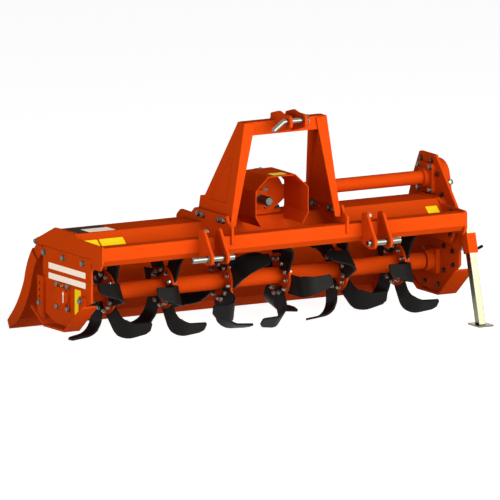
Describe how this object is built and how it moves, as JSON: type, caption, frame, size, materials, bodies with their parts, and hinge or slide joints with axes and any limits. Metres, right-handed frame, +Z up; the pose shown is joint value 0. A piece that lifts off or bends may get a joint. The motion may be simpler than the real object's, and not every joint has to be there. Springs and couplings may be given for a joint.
{
  "type": "rotary tiller",
  "caption": "Tractor-mounted rotary tiller with side gear drive, C-shaped tines, hinged rear hood, A-frame hitch and a parking stand.",
  "frame": {"origin": "on the ground, under the middle of the whole machine's box", "axes": "+Z up; X across the machine, +X towards the drive side; -Y towards the tractor"},
  "size_m": [1.642, 0.7972, 0.8477],
  "materials": {
    "orange_paint": "satin powder coat",
    "blade_steel": "satin black forged steel",
    "bright_steel": "zinc plated",
    "black_paint": "satin"
  },
  "bodies": {
    "frame": {"bearing_free": "orange_paint", "bearing_housing_drive": "orange_paint", "deck_sheet": "orange_paint", "drive_tube": "orange_paint", "end_cap_drive": "orange_paint", "end_cap_free": "orange_paint", "front_beam": "orange_paint", "gear_case_cover": "orange_paint", "gear_case_plate": "orange_paint", "gearbox": "orange_paint", "gearbox_flange": "orange_paint", "hinge_rod": "bright_steel", "lower_link_lugs_drive": "orange_paint", "lower_link_lugs_free": "orange_paint", "lower_link_pin_drive": "bright_steel", "lower_link_pin_free": "bright_steel", "mast_base_drive": "orange_paint", "mast_base_free": "orange_paint", "mast_crossbar": "orange_paint", "mast_leg_drive": "orange_paint", "mast_leg_free": "orange_paint", "oil_plug": "bright_steel", "pto_guard": "orange_paint", "rod_bracket": "orange_paint", "side_plate_free": "orange_paint", "skid_drive": "orange_paint", "skid_free": "orange_paint", "skid_strap_drive": "orange_paint", "skid_strap_free": "orange_paint", "stand_pin": "black_paint", "stand_sleeve": "orange_paint", "top_link_bracket": "orange_paint", "top_link_pin": "bright_steel"},
    "rotor": {"rotor_flanges": "orange_paint", "rotor_tube": "orange_paint", "tines_1": "blade_steel", "tines_2": "blade_steel", "tines_3": "blade_steel", "tines_4": "blade_steel", "tines_5": "blade_steel", "tines_6": "blade_steel"},
    "pto": {"pto_shaft": "bright_steel"},
    "hood": {"hood_cheek_drive": "orange_paint", "hood_cheek_free": "orange_paint", "rear_hood": "orange_paint"},
    "rod": {"hood_rod": "bright_steel", "rod_springs": "black_paint"},
    "trunnion": {"rod_trunnion": "bright_steel"},
    "stand": {"stand_foot": "bright_steel", "stand_leg": "bright_steel"}
  },
  "joints": [
    {"name": "rotor_spin", "type": "hinge", "parent": "frame", "child": "rotor", "pos_m": [-0.015, -0.0111, 0.191], "axis": [1, 0, 0], "continuous": true},
    {"name": "pto_spin", "type": "hinge", "parent": "frame", "child": "pto", "pos_m": [-0.015, -0.0911, 0.491], "axis": [0, 1, 0], "continuous": true},
    {"name": "hood_swing", "type": "hinge", "parent": "frame", "child": "hood", "pos_m": [-0.015, 0.1889, 0.365], "axis": [1, 0, 0], "range_deg": [0, 40]},
    {"name": "rod_swing", "type": "hinge", "parent": "frame", "child": "rod", "pos_m": [-0.015, 0.1469, 0.479], "axis": [1, 0, 0], "range_deg": [0, 20]},
    {"name": "trunnion_turn", "type": "hinge", "parent": "hood", "child": "trunnion", "pos_m": [-0.015, 0.2939, 0.314], "axis": [-1, 0, 0], "range_deg": [0, 21]},
    {"name": "stand_slide", "type": "slide", "parent": "frame", "child": "stand", "axis": [0, 0.2706, 0.9627], "range_m": [0, 0.22]}
  ],
  "couplings": [
    {"joint": "pto_spin", "follows": "rotor_spin", "ratio": 2.7},
    {"joint": "rod_swing", "follows": "hood_swing", "ratio": 0.4866},
    {"joint": "trunnion_turn", "follows": "hood_swing", "ratio": 0.5134}
  ]
}
